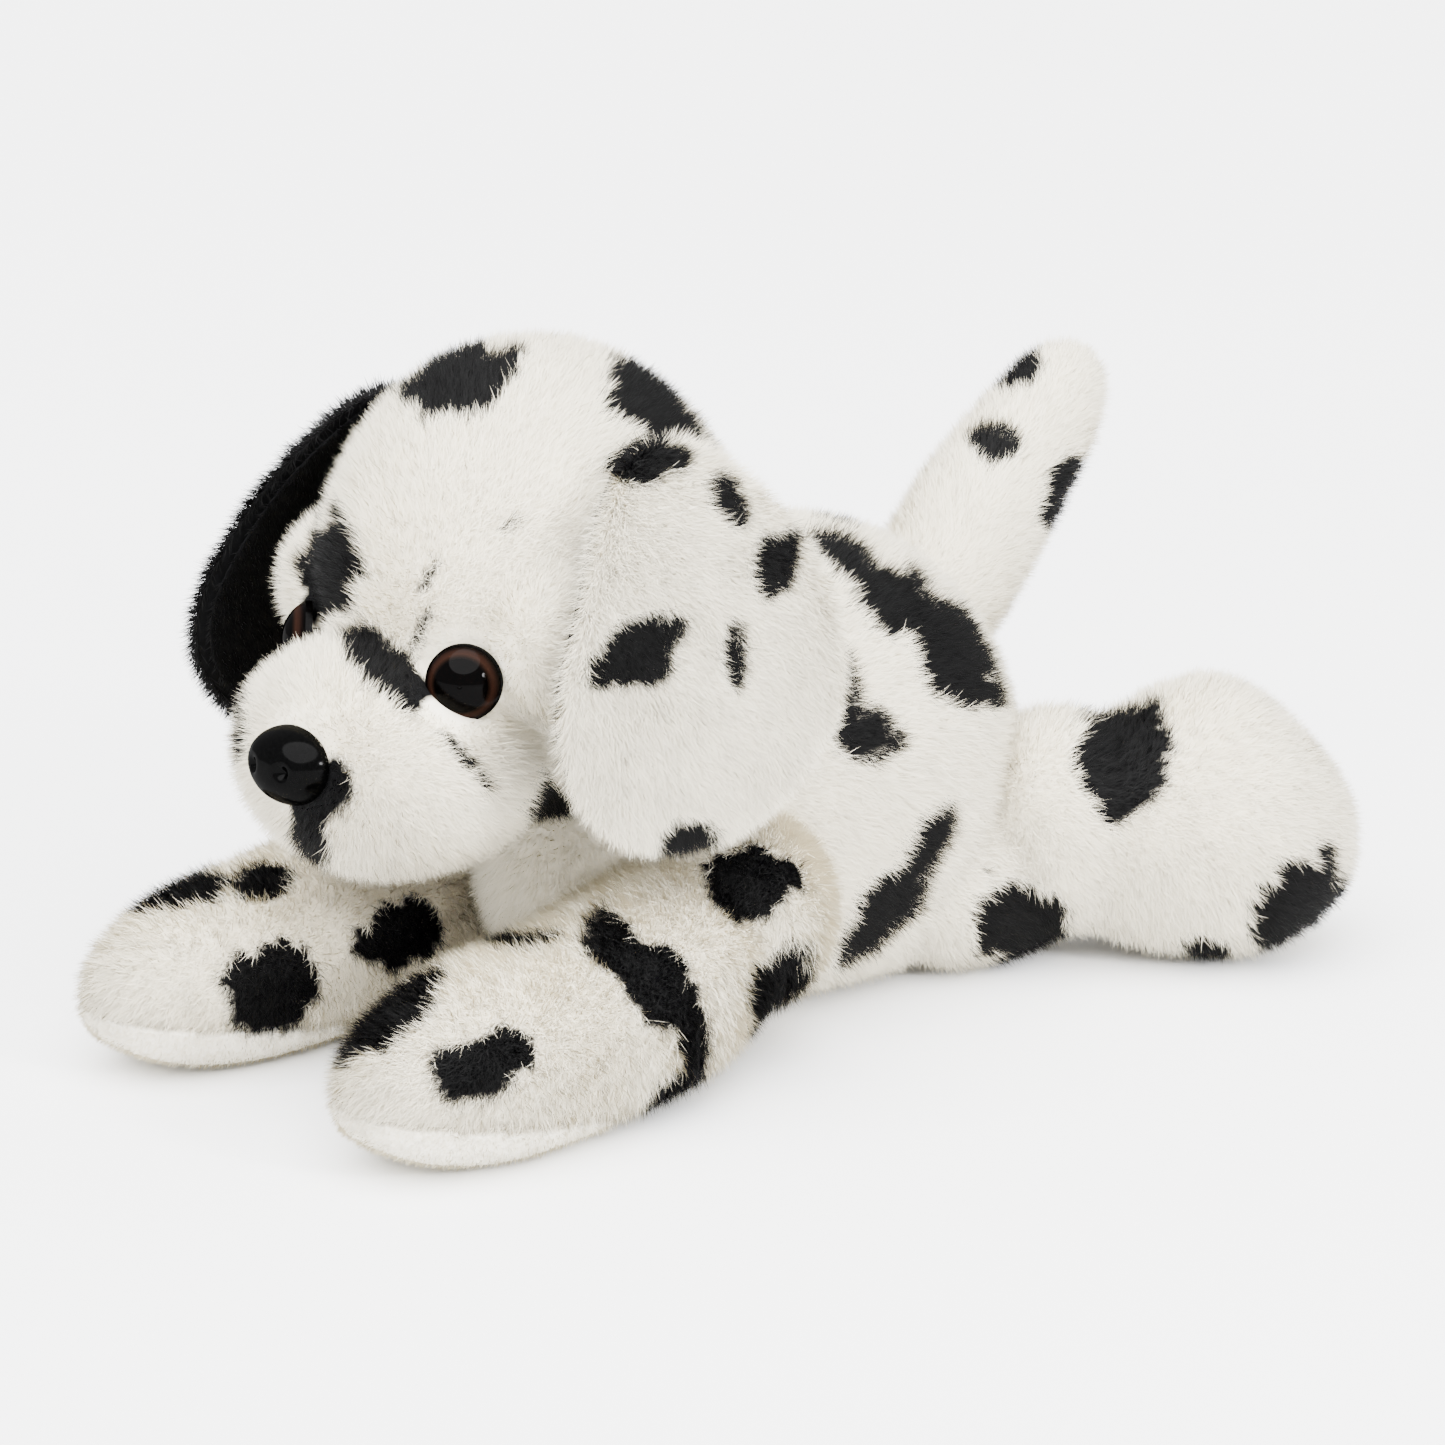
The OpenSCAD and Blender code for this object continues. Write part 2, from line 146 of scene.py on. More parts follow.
def mirrored(form):
    """The same form on the dog's right, its faces turned to point out again."""
    p, f = form
    return p * np.array([-1, 1, 1]), [face[::-1] for face in f]


def ball(centre, wide, deep, high, sides=40, rings=28):
    """An ellipsoid with those half sizes in mm, as points and faces."""
    turn = np.pi * np.arange(1, rings) / rings
    angle = 2 * np.pi * np.arange(sides) / sides
    x = np.sin(turn)[:, None] * np.cos(angle)
    y = np.sin(turn)[:, None] * np.sin(angle)
    z = np.cos(turn)[:, None] + 0 * angle
    p = np.stack([wide * x, deep * y, high * z], -1).reshape(-1, 3)
    p = np.vstack([p, [0, 0, high], [0, 0, -high]]) + np.array(centre, float)
    i, j = np.meshgrid(np.arange(rings - 2), np.arange(sides), indexing="ij")
    a, b = i * sides + j, i * sides + (j + 1) % sides
    quads = np.stack([a, a + sides, b + sides, b], -1).reshape(-1, 4)
    j = np.arange(sides)
    top, bottom, last = len(p) - 2, len(p) - 1, (rings - 2) * sides
    caps = np.vstack([np.stack([0 * j + top, j, (j + 1) % sides], 1),
                      np.stack([0 * j + bottom, last + (j + 1) % sides, last + j], 1)])
    return p, quads.tolist() + caps.tolist()


# %% [markdown]
# The pile stands about 2.4 mm proud of the backing cloth once it leans over, so every skin is
# drawn that far inside the finished outline. The body is a flat-bottomed cushion, widest at the
# hips. The head is a big ball with a round muzzle sewn on low at the front.

# %% Body, neck, head and tail skins
INSET = 2.4
BODY_W, BODY_H, BODY_L = 37.0, 35.5, 108.0
HEAD = np.array([0.0, -40.0, 71.0])
SHOULDER = np.array([27.0, -25.0, 22.0])
HIP = np.array([31.0, 44.0, 22.0])
TAIL = np.array([0.0, 50.0, 54.0])

y0 = -BODY_L * 0.42
body_stations = [
    [0, y0, 25, BODY_W * 0.74, 25, 0, 0],
    [0, y0 + BODY_L * 0.20, 30, BODY_W * 0.86, BODY_H * 0.90, 0, 0],
    [0, y0 + BODY_L * 0.42, 34.5, BODY_W * 0.95, BODY_H, 0, 0],
    [0, y0 + BODY_L * 0.62, 35, BODY_W * 0.97, BODY_H * 1.02, 0, 0],
    [0, y0 + BODY_L * 0.79, 32, BODY_W * 0.82, BODY_H * 0.93, 0, 0],
    [0, y0 + BODY_L * 0.93, 28, BODY_W * 0.62, BODY_H * 0.80, 0, 0],
]
neck_stations = [
    [0, -10, 44, 17, 17, 180, 20],
    [0, -28, 49, 19, 19, 180, 40],
    [0, -38, 66, 19, 19, 180, 60],
]
body_skin = mesh_object("body_skin", *soft_form(body_stations, INSET, 2.7, 0, 96, 80, 0.42))
neck_skin = mesh_object("neck_skin", *soft_form(neck_stations, INSET, 3.0, 0))

head_w, head_h, head_d = 33.0, 36.5, 33.0
head_stations = [
    [0, HEAD[1] + head_d * 0.92, HEAD[2] - 3, head_w, head_h * 0.98, 180, 0],
    [0, HEAD[1] + head_d * 0.4, HEAD[2] - 1, head_w, head_h, 180, 0],
    [0, HEAD[1] - head_d * 0.3, HEAD[2], head_w * 0.97, head_h, 180, 0],
    [0, HEAD[1] - head_d, HEAD[2] - 3, head_w * 0.86, head_h * 0.97, 180, 0],
]
muzzle_w, muzzle_reach = 24.6, 47.4
muzzle_stations = [
    [0, HEAD[1] - 4, 50, muzzle_w * 0.9, 17, 180, 0],
    [0, HEAD[1] - muzzle_reach * 0.45, 50.5, muzzle_w, 18.7, 180, 0],
    [0, HEAD[1] - muzzle_reach * 0.75, 50.5, muzzle_w, 18.4, 180, 0],
    [0, HEAD[1] - muzzle_reach, 50, muzzle_w * 0.9, 16.5, 180, 0],
]
head_skin = joined_skin("head_skin", [
    soft_form(head_stations, INSET, 2.15, 0, 64, 48),
    soft_form(muzzle_stations, INSET, 2.8, 0, 56, 40),
    ball((21.5, -56, 69), 9.6, 9.6, 10.5), ball((-21.5, -56, 69), 9.6, 9.6, 10.5)], 1.4, 6)

tail_w, tail_l = 10.0, 52.0
tail_stations = [
    [0, TAIL[1] - 12, TAIL[2] - 12, tail_w * 1.5, tail_w * 1.5, 0, 42],
    [0, TAIL[1] + tail_l * 0.17, TAIL[2] + tail_l * 0.19, tail_w * 1.22, tail_w * 1.26, 0, 42],
    [0, TAIL[1] + tail_l * 0.42, TAIL[2] + tail_l * 0.42, tail_w * 1.06, tail_w * 1.06, 0, 44],
    [0, TAIL[1] + tail_l * 0.64, TAIL[2] + tail_l * 0.64, tail_w * 0.90, tail_w * 0.90, 0, 48],
]
tail_skin = mesh_object("tail_skin", *soft_form(tail_stations, INSET, 4.0, 0))

# %% Leg skins
paw_w, paw_h, front_reach = 17.5, 14.5, 76.0
sx, sy = SHOULDER[0], SHOULDER[1]
front_stations = [
    [sx - 1, sy + 12, 22, paw_w * 0.80, paw_h * 1.1, 180, 0],
    [sx + 0.5, sy - front_reach * 0.12, 18.5, paw_w * 1.02, paw_h * 1.22, 180, 0],
    [sx + 1, sy - front_reach * 0.34, 15.5, paw_w * 1.04, paw_h * 1.1, 180, 0],
    [sx + 1.2, sy - front_reach * 0.56, 13.5, paw_w, paw_h * 1.03, 180, 0],
    [sx + 1.5, sy - front_reach * 0.78, 13, paw_w, paw_h * 1.06, 180, 0],
    [sx + 1.5, sy - front_reach, 12, paw_w * 0.96, paw_h * 0.97, 180, 0],
]
front_forms = [soft_form(front_stations, INSET, 3.0, 0, 64, 56, 0.55),
               ball(SHOULDER, 13.5, 15.2, 14.6)]
left_front_skin = joined_skin("left_front_leg_skin", front_forms, 1.2, 9)
right_front_skin = joined_skin("right_front_leg_skin", [mirrored(f) for f in front_forms],
                               1.2, 9)

hind_w, hind_h, hind_reach, hind_bearing = 24.0, 23.0, 49.0, 36.0
hb = math.radians(hind_bearing)
hind_stations = [
    [HIP[0] + r * math.sin(hb), HIP[1] + r * math.cos(hb), z, hind_w * w, hind_h * h,
     -hind_bearing, 0]
    for r, z, w, h in [(-12, 22, 0.80, 0.90), (8, 21, 0.88, 0.92), (24, 22.5, 0.97, 1.02),
                       (hind_reach * 0.72, 20.8, 1, 0.95),
                       (hind_reach * 0.99, 17.5, 0.90, 0.80)]]
hind_forms = [soft_form(hind_stations, 3.2, 2.5, -0.8, 64, 56, 0.55),
              ball(HIP, 15.5, 15.5, 17.0), ball((24.5, 34, 14), 11.5, 22, 13.2)]
left_hind_skin = joined_skin("left_hind_leg_skin", hind_forms, 1.3, 10)
right_hind_skin = joined_skin("right_hind_leg_skin", [mirrored(f) for f in hind_forms], 1.3, 10)

# %% Ear skins
ear_w, ear_drop, ear_top = 23.5, 55.0, np.array([27.0, -42.0, 96.0])


def ear_form(shift, half_thickness, yaw, flare, inset=0.0, close=1.0):
    """One sheet of an ear: flat rings hung below the seam, carried outward by the flare."""
    turn = math.radians(yaw)
    x = ear_top[0] + shift * math.sin(turn)
    y = ear_top[1] - shift * math.cos(turn)
    rows = [[x + out * close + flare * down, y + back, ear_top[2] - ear_drop * down,
             ear_w * wide, half_thickness, yaw, -90]
            for down, out, back, wide in [(0, 1.5, 0, 0.42), (0.14, 6.5, 0, 0.62),
                                          (0.34, 11.5, -1, 0.84), (0.56, 14, -3, 1),
                                          (0.78, 14.5, -5, 0.98), (1, 13.5, -6, 0.86)]]
    return soft_form(rows, inset, 3.4, 0, 48, 40)


left_ear_skin = mesh_object("left_ear_skin", *ear_form(0.3, 3.2, 77, 0, 1.0))
right_ear_skin = mesh_object("right_ear_skin", *mirrored(ear_form(0.3, 3.6, 96, 7, 2.0, 0.78)))
print("skins drawn")

# %% Where a point lies inside another form
def buried(points, stations, inset, fullness, flip=False, samples=28):
    """True where a point is inside any of the ellipsoids strung along the stations, each as
    wide and high as the form there and long enough to meet the next."""
    p = points * np.array([-1, 1, 1]) if flip else points
    t = (np.arange(samples) + 0.5) / samples
    row = through_stations(stations, t)
    girth = np.sqrt(1 - np.abs(2 * t - 1) ** fullness)
    span = np.linalg.norm(row[-1, :3] - row[0, :3]) / samples
    hit = np.zeros(len(p), bool)
    for r, g in zip(row, girth):
        yaw, pitch = math.radians(r[5]), math.radians(r[6])
        side = np.array([math.cos(yaw), math.sin(yaw), 0])
        ahead = np.array([-math.sin(yaw) * math.cos(pitch), math.cos(yaw) * math.cos(pitch),
                          math.sin(pitch)])
        d = p - r[:3]
        w, h = max((r[3] - inset) * g, 0.1), max((r[4] - inset) * g, 0.1)
        hit |= ((d @ side / w) ** 2 + (d @ np.cross(side, ahead) / h) ** 2
                + (d @ ahead / (span * 1.6)) ** 2) < 1
    return hit


# %% [markdown]
# Pile is planted where a seeded draw puts it, evenly by area. A fibre leans over in the lay of
# the fabric, bends a little more towards its tip, and keeps its flat side turned outwards. Its
# colour is fixed at the root: the spots are soft-edged ovals laid on the surface, made ragged
# by a slow ripple. Each fibre reads one column of a small colour card, white on its left half
# and black on its right, and runs up the card from root to tip.

# %% Pile
def ripple(points, wavelength, seed, waves=7):
    """A slow random wave from -1 to 1: the mean of several sines in random directions."""
    rng = np.random.default_rng(seed)
    k = rng.normal(size=(waves, 3))
    k *= (2 * np.pi / wavelength) * rng.uniform(0.6, 1.5, waves)[:, None] \
        / np.linalg.norm(k, axis=1)[:, None]
    return np.sin(points @ k.T + rng.uniform(0, 2 * np.pi, waves)).sum(1) / math.sqrt(waves)


def unit(v):
    return v / np.maximum(np.linalg.norm(v, axis=1), 1e-9)[:, None]


SPOT_DEPTH = 13


def in_spots(points, normals, spots):
    """True where a point lies on a black patch. A patch is (centre, long direction, half
    length, half width, sight line): an oval across the line, its edge moved in and out by a
    ripple. With no line given, the oval is laid flat on the surface."""
    black = np.zeros(len(points), bool)
    edge = 0.15 * ripple(points, 9, 5) + 0.09 * ripple(points, 3.5, 6)
    for centre, direction, half_length, half_width, line in spots:
        d = points - np.array(centre, float)
        normal = normals if line is None else np.tile(line, (len(points), 1))
        off = (d * normal).sum(1)
        near = np.abs(off) < SPOT_DEPTH
        if line is not None:
            near &= normals @ line > -0.1
        d = d - normal * off[:, None]
        u = np.array(direction, float)
        along = unit(u - normal * (normal @ u)[:, None])
        a = (d * along).sum(1)
        c = np.sqrt(np.maximum((d ** 2).sum(1) - a ** 2, 0))
        black |= near & (np.sqrt((a / half_length) ** 2 + (c / half_width) ** 2) < 1 + edge)
    return black


def surface_of(obj):
    """Vertex places in mm, vertex normals and triangles of an object as it is shown."""
    dg = bpy.context.evaluated_depsgraph_get()
    mesh = obj.evaluated_get(dg).to_mesh()
    mesh.calc_loop_triangles()
    co = np.empty(len(mesh.vertices) * 3, np.float32)
    mesh.vertices.foreach_get("co", co)
    no = np.empty(len(mesh.vertices) * 3, np.float32)
    mesh.vertex_normals.foreach_get("vector", no)
    tri = np.empty(len(mesh.loop_triangles) * 3, np.int32)
    mesh.loop_triangles.foreach_get("vertices", tri)
    return (co.reshape(-1, 3) / MM).astype(float), no.reshape(-1, 3).astype(float), \
        tri.reshape(-1, 3)


def scatter(obj, count, rng):
    """Random places spread evenly by area over an object, with the normals there."""
    co, no, tri = surface_of(obj)
    a, b, c = co[tri[:, 0]], co[tri[:, 1]], co[tri[:, 2]]
    area = np.linalg.norm(np.cross(b - a, c - a), axis=1)
    pick = np.searchsorted(np.cumsum(area) / area.sum(), rng.random(count))
    pick = np.minimum(pick, len(tri) - 1)
    u, v = rng.random(count), rng.random(count)
    over = u + v > 1
    u[over], v[over] = 1 - u[over], 1 - v[over]
    w = 1 - u - v
    mix = lambda x: (w[:, None] * x[tri[pick, 0]] + u[:, None] * x[tri[pick, 1]]
                     + v[:, None] * x[tri[pick, 2]])
    return mix(co), unit(mix(no))


def pile(name, skin, count, needles, seed, lay, keep, spots=(), length=3.8, lean=(28, 52),
         width=0.112, black_all=False, spread=28.0, shorter=None):
    """Fibres planted on a skin. Each leaves it at one lean from the normal and goes on at a
    greater one, in the lay's direction turned by a small random angle. The first ones are
    bent blades of a quad and a tip, and the many others are single narrow triangles. Both are
    shaded as the cloth under them is, so that the pile looks soft."""
    rng = np.random.default_rng(seed)
    total = count + needles
    p, n = scatter(skin, int(total * 1.9), rng)
    good = keep(p, n)
    share = min(1.0, good.sum() / total)
    p, n = p[good][:total], n[good][:total]
    m, bent = len(p), int(count * share)
    flow = lay(p, n)
    flow = unit(flow - n * (flow * n).sum(1)[:, None])
    turn = np.radians(rng.normal(0, spread, m) + 14 * ripple(p, 13, seed + 1)
                      + 6 * ripple(p, 3.5, seed + 2))
    flow = flow * np.cos(turn)[:, None] + np.cross(n, flow) * np.sin(turn)[:, None]
    tilt = rng.normal(0, 13, m) + 4 * ripple(p, 5, seed + 3)
    a0 = np.radians(np.clip(lean[0] + tilt, 4, 78))[:, None]
    a1 = np.radians(np.clip(lean[1] + tilt * 1.2, 6, 88))[:, None]
    size = length * rng.uniform(0.70, 1.12, m)
    if shorter is not None:
        size = size * shorter(p)
    size = size[:, None]
    d0 = n * np.cos(a0) + flow * np.sin(a0)
    d1 = n * np.cos(a1) + flow * np.sin(a1)
    root = p - n * 0.4
    middle = root + d0 * size * 0.5
    tip = middle + d1 * size * 0.5
    side = unit(np.cross(d0, n))
    twist = np.radians(rng.normal(0, 30, m))[:, None]
    side = side * np.cos(twist) + np.cross(d0, side) * np.sin(twist)
    w = (width * rng.uniform(0.8, 1.2, m))[:, None] / 2
    k = slice(0, bent)
    blades = np.stack([root[k] - side[k] * w[k], root[k] + side[k] * w[k],
                       middle[k] - side[k] * w[k] * 0.85, middle[k] + side[k] * w[k] * 0.85,
                       tip[k]], 1).reshape(-1, 3)
    k = slice(bent, m)
    thin = np.stack([root[k] - side[k] * w[k] * 1.15, root[k] + side[k] * w[k] * 1.15, tip[k]],
                    1).reshape(-1, 3)
    co = np.vstack([blades, thin])
    co[:, 2] = np.maximum(co[:, 2], 0.15)
    base = 5 * np.arange(bent)[:, None]
    loops = np.concatenate([np.hstack([base + [0, 1, 3, 2], base + [2, 3, 4]]).ravel(),
                            5 * bent + np.arange(3 * (m - bent))]).astype(np.int32)
    starts = np.concatenate([(7 * np.arange(bent)[:, None] + [0, 4]).ravel(),
                             7 * bent + 3 * np.arange(m - bent)]).astype(np.int32)
    black = np.ones(m, bool) if black_all else in_spots(p, n, spots)
    tone = np.where(black, 0.56, 0.06) + 0.36 * rng.random(m)
    e = 0.004
    corners = [(-e, 0.03), (e, 0.03), (e, 0.5), (-e, 0.5), (-e, 0.5), (e, 0.5), (0, 0.97)]
    uv = np.concatenate([
        np.stack([np.stack([tone[:bent] + du, np.full(bent, v)], 1) for du, v in corners],
                 1).reshape(-1, 2),
        np.stack([np.stack([tone[bent:] + du, np.full(m - bent, v)], 1)
                  for du, v in [(-e, 0.03), (e, 0.03), (0, 0.97)]], 1).reshape(-1, 2)])
    soft = unit(n + 0.30 * flow + rng.normal(0, 0.16, (m, 3)))
    mesh = bpy.data.meshes.new(name)
    mesh.vertices.add(len(co))
    mesh.vertices.foreach_set("co", (co * MM).astype(np.float32).ravel())
    mesh.loops.add(len(loops))
    mesh.loops.foreach_set("vertex_index", loops)
    mesh.polygons.add(len(starts))
    mesh.polygons.foreach_set("loop_start", starts)
    mesh.polygons.foreach_set("use_smooth", np.ones(len(starts), bool))
    layer = mesh.uv_layers.new(name="OFBake")
    layer.data.foreach_set("uv", uv.astype(np.float32).ravel())
    mesh.update(calc_edges=True)
    mesh.normals_split_custom_set_from_vertices(
        np.vstack([np.repeat(soft[:bent], 5, 0), np.repeat(soft[bent:], 3, 0)]))
    obj = bpy.data.objects.new(name, mesh)
    bpy.context.scene.collection.objects.link(obj)
    print(name, m, "fibres,", round(float(black.mean()) * 100), "% black")
    return obj


# %% [markdown]
# Spots on the left and front are ovals across the line from which the toy is shown, so that
# they keep their shape over the curves. Their centres are measured places on the skins, worked
# out by a separate ray-casting script and in part shifted afterwards, so they are not chosen
# by hand. The laid spots, nearly all out of view, are made up and lie flat on the surface.

# %% Spots
RIGHT, UP = np.array([0.707, 0.707, 0.0]), np.array([-0.195, 0.195, 0.961])
SIGHT = np.array([0.680, -0.680, 0.276])


def shown(centre, degrees, half_length, half_width):
    """A patch across the sight line, its long direction counted up from the line to the
    dog's tail."""
    a = math.radians(degrees)
    return centre, RIGHT * math.cos(a) + UP * math.sin(a), half_length, half_width, SIGHT


def laid(centre, direction, half_length, half_width):
    return centre, direction, half_length, half_width, None


head_spots_and_painted_shade = [
    shown([-1, -53, 101.5], 18, 8.2, 6.3),
    shown([17.4, -33.2, 98], -40, 9.0, 4.4),
    shown([29.9, -46.3, 94.2], 5, 5.0, 2.8),
    shown([-10.3, -69.6, 74.6], 78, 8.4, 5.9),
    shown([-14.7, -68, 86], 80, 5.0, 2.4),
    shown([24.2, -66.8, 88], 25, 2.4, 0.45),
    shown([10.2, -69, 77.6], 65, 2.8, 0.55),
    shown([5.8, -73.3, 64.1], -38, 8.0, 3.6),
    shown([11.5, -72, 70.5], 72, 3.8, 0.8),
    shown([20, -71, 53.2], -52, 4.8, 0.95),
    shown([12.6, -50.2, 42.5], -55, 4.4, 3.2),
    shown([6.1, -84.3, 49.8], 82, 4.2, 3.3),
    shown([2.6, -83, 45.5], 40, 3.2, 2.2),
    shown([-0.4, -82.2, 41.6], -62, 4.9, 2.5),
    # Painted shade: this thin dark patch along the far edge of the muzzle stands for the shade
    # there, not a black marking.
    shown([-16, -80, 53], 85, 4.0, 0.8),
    laid([-26, -52, 92], [0.3, 1, 0.2], 7.0, 5.0),
    laid([-30, -30, 66], [0, 1, 0.3], 6.5, 4.5),
    laid([-12, -12, 84], [1, 0, 0.2], 8.0, 5.0),
    laid([16, -12, 72], [1, 0, 1], 7.0, 4.5),
    laid([-22, -66, 46], [0.5, 1, 0], 4.5, 3.0),
]
left_ear_spots = [
    shown([39.4, -56.8, 71.6], 30, 7.2, 4.2),
    shown([36.6, -37.5, 88.4], -70, 4.8, 2.1),
    shown([41.9, -33.4, 79.8], 70, 5.2, 3.3),
    shown([43.3, -42.5, 69.4], 88, 5.2, 1.5),
    shown([41.6, -50.1, 43.5], 25, 4.2, 2.7),
    shown([29.9, -46.3, 94.2], 5, 5.0, 2.8),
]
body_spots = [
    shown([28.2, -2.1, 49.8], -82, 7.2, 1.8),
    shown([30.5, -0.2, 45], 0, 4.4, 4.2),
    shown([10.6, 14.5, 65.5], -30, 6.5, 3.3),
    shown([20.5, 16.5, 60.5], -40, 7.0, 5.2),
    shown([28, 20.5, 53.5], -45, 8.6, 6.2),
    shown([31.4, 22, 47.5], -4, 7.4, 2.6),
    laid([2, 22, 69], [1, 1, 0], 4.4, 2.8),
    shown([33.9, 9.7, 27], 66, 6.0, 2.9),
    shown([32.2, 3.2, 19.5], 55, 8.6, 4.4),
    shown([29.5, -2.1, 13.5], 45, 4.6, 2.9),
    shown([33.7, 31, 9.4], -10, 8.0, 7.2),
    laid([-24, 0, 58], [0.3, 1, 0.3], 9.0, 6.0),
    laid([-33, 14, 40], [0, 0.2, 1], 8.0, 5.0),
    laid([-30, 30, 52], [0, 1, -0.5], 7.0, 5.0),
    laid([-32, 2, 18], [0, 1, 0.6], 7.5, 4.5),
    laid([-16, 50, 40], [1, 0, 1], 6.0, 4.0),
    laid([17, 52, 34], [1, 0, 1], 5.0, 3.6),
    laid([6, -6, 2], [1, 0.3, 0], 8.0, 6.0),
    laid([-12, 32, 2], [1, 1, 0], 9.0, 6.0),
]
left_front_spots = [
    shown([37.1, -32.5, 30.3], 0, 7.2, 4.8),
    shown([39.6, -29, 14.6], 62, 7.0, 4.4),
    shown([35, -56.5, 26], -33, 5.8, 3.8),
    shown([41, -54, 21.5], -55, 6.8, 4.6),
    shown([43.3, -49.5, 13], -86, 5.6, 2.5),
    shown([42, -52, 4.5], 52, 5.6, 2.8),
    shown([39.9, -85.7, 17.4], 12, 7.4, 4.1),
    shown([27.5, -90.5, 23], 40, 8.6, 3.2),
    shown([26, -64.7, 26.2], 12, 5.2, 0.9),
    laid([12, -60, 14], [0, 1, 0.2], 7.0, 5.0),
]
right_front_spots = [
    shown([-29, -83, 24.8], 14, 8.0, 2.0),
    shown([-24.4, -71.5, 25.2], 0, 4.6, 2.4),
    shown([-14.4, -79.2, 13.7], 62, 7.2, 5.8),
    shown([-12.7, -55.7, 17], 10, 6.4, 5.4),
    shown([-8, -79, 2.5], 0, 3.0, 1.8),
    laid([-44, -62, 14], [0, 1, 0], 7.0, 4.5),
    laid([-34, -40, 32], [0, 1, 0], 7.0, 4.5),
]
left_hind_spots = [
    shown([43.7, 43.6, 34.8], 80, 10.2, 7.2),
    shown([65.1, 62.6, 11.5], 35, 9.2, 7.8),
    shown([54.4, 52.7, 5.5], -10, 4.0, 1.5),
    shown([33.7, 31, 9.4], -10, 8.0, 7.2),
    laid([44, 84, 26], [1, 0.4, 0.3], 7.0, 5.0),
    laid([28, 64, 38], [1, 0, 0.4], 5.0, 4.0),
]
right_hind_spots = [
    laid([-52, 46, 32], [0, 0.5, 1], 9.0, 6.0),
    laid([-66, 66, 14], [0.3, 1, 0.3], 7.0, 5.0),
    laid([-40, 84, 28], [1, 0.4, 0.5], 7.5, 5.5),
    laid([-30, 62, 38], [0, 1, 0], 6.0, 4.0),
]
tail_spots = [
    shown([-2, 71, 85], 50, 4.4, 3.2),
    shown([0.8, 61, 74.4], -40, 3.8, 3.2),
    shown([9, 67, 67.5], 62, 6.6, 3.0),
    laid([-8, 60, 62], [0, 1, 1], 5.5, 3.5),
    laid([-7, 74, 70], [0.5, 1, 1], 4.5, 3.0),
]

# %% [markdown]
# The lay follows how pile fabric is cut for toys: on the face it runs back from the nose, on
# the body and tail towards the tail and down, on the legs towards the toes. Around each eye and
# the nose the maker trims it and combs it outwards.

# %% Lay of the pile
NOSE = np.array([0.0, -87.0, 52.5])
EYES = [np.array([s * 17.5, -69.0, 64.0]) for s in (1, -1)]


def comb_round(flow, p, centre, near, far):
    """Turns a flow to point away from a centre, wholly inside near and not at all past far."""
    away = p - centre
    d = np.linalg.norm(away, axis=1)
    w = np.clip((far - d) / (far - near), 0, 1)[:, None]
    return unit(flow) * (1 - w) + unit(away) * w


def face_lay(p, n):
    flow = unit(p - (NOSE + [0, -4, 4])) + np.array([0, 0, -0.25])
    for eye in EYES:
        flow = comb_round(flow, p, eye, 6.5, 11)
    return comb_round(flow, p, NOSE, 8, 14)


def face_length(p):
    d = np.min([np.linalg.norm(p - eye, axis=1) for eye in EYES]
               + [np.linalg.norm(p - NOSE, axis=1)], axis=0)
    return np.clip(0.35 + (d - 6) / 8, 0.35, 1.0)


def body_lay(p, n):
    return np.tile([0.0, 1.0, -0.55], (len(p), 1))


def ear_lay(p, n):
    return np.stack([0 * p[:, 0], 0.35 * np.sin(p[:, 1] / 9), 0 * p[:, 2] - 1], 1)


def leg_lay(p, n):
    return np.tile([0.0, -1.0, -0.5], (len(p), 1))


def hind_lay(p, n):
    return np.stack([0.45 * np.sign(p[:, 0]), 0 * p[:, 0] + 0.8, 0 * p[:, 0] - 0.6], 1)


def tail_lay(p, n):
    return np.tile([0.0, 0.7, 0.6], (len(p), 1))


def away_from_features(p):
    clear = np.linalg.norm((p - NOSE + [0, 0, 0.8]) / [1.2, 1, 1], axis=1) > 5.6
    for eye in EYES:
        clear &= np.linalg.norm(p - eye, axis=1) > 5.6
    return clear


in_head = lambda p, inset=3.5: (buried(p, head_stations, inset, 2.15)
                                | buried(p, muzzle_stations, inset, 2.8))
in_body = lambda p, inset=3.5: buried(p, body_stations, inset, 2.7)
in_front = lambda p, flip, inset=3.5: buried(p, front_stations, inset, 3.0, flip)
in_hind = lambda p, flip, inset=3.5: buried(p, hind_stations, inset, 2.5, flip)
in_tail = lambda p, inset=3.5: buried(p, tail_stations, inset, 4.0)


def on_sole(p):
    """The underside panel of a front paw: low and well forward."""
    return (p[:, 1] < -62) & (p[:, 2] < 10.5 - 0.2 * (p[:, 1] + 100))


# %% [markdown]
# Colours are written as sRGB codes and turned to linear light by one function. Each material is
# a small chain of nodes ending in the same shader, with plain numbers on its own sockets.

# %% Material helpers
def colour(code):
    """A linear RGBA colour from a six-digit sRGB code."""
    c = np.array([int(code[i:i + 2], 16) for i in (0, 2, 4)]) / 255
    return (*np.where(c <= 0.04045, c / 12.92, ((c + 0.055) / 1.055) ** 2.4).tolist(), 1.0)


def add(mat, kind, inputs=(), **settings):
    """Adds a node. Settings are its own properties, inputs are (socket, value or output)."""
    made = mat.node_tree.nodes.new(kind)
    for key, value in settings.items():
        setattr(made, key, value)
    for socket, value in inputs:
        if isinstance(value, bpy.types.NodeSocket):
            mat.node_tree.links.new(value, made.inputs[socket])
        else:
            made.inputs[socket].default_value = value
    return made


def new_material(name):
    mat = bpy.data.materials.new(name)
    mat.use_nodes = True
    mat.node_tree.nodes.clear()
    return mat


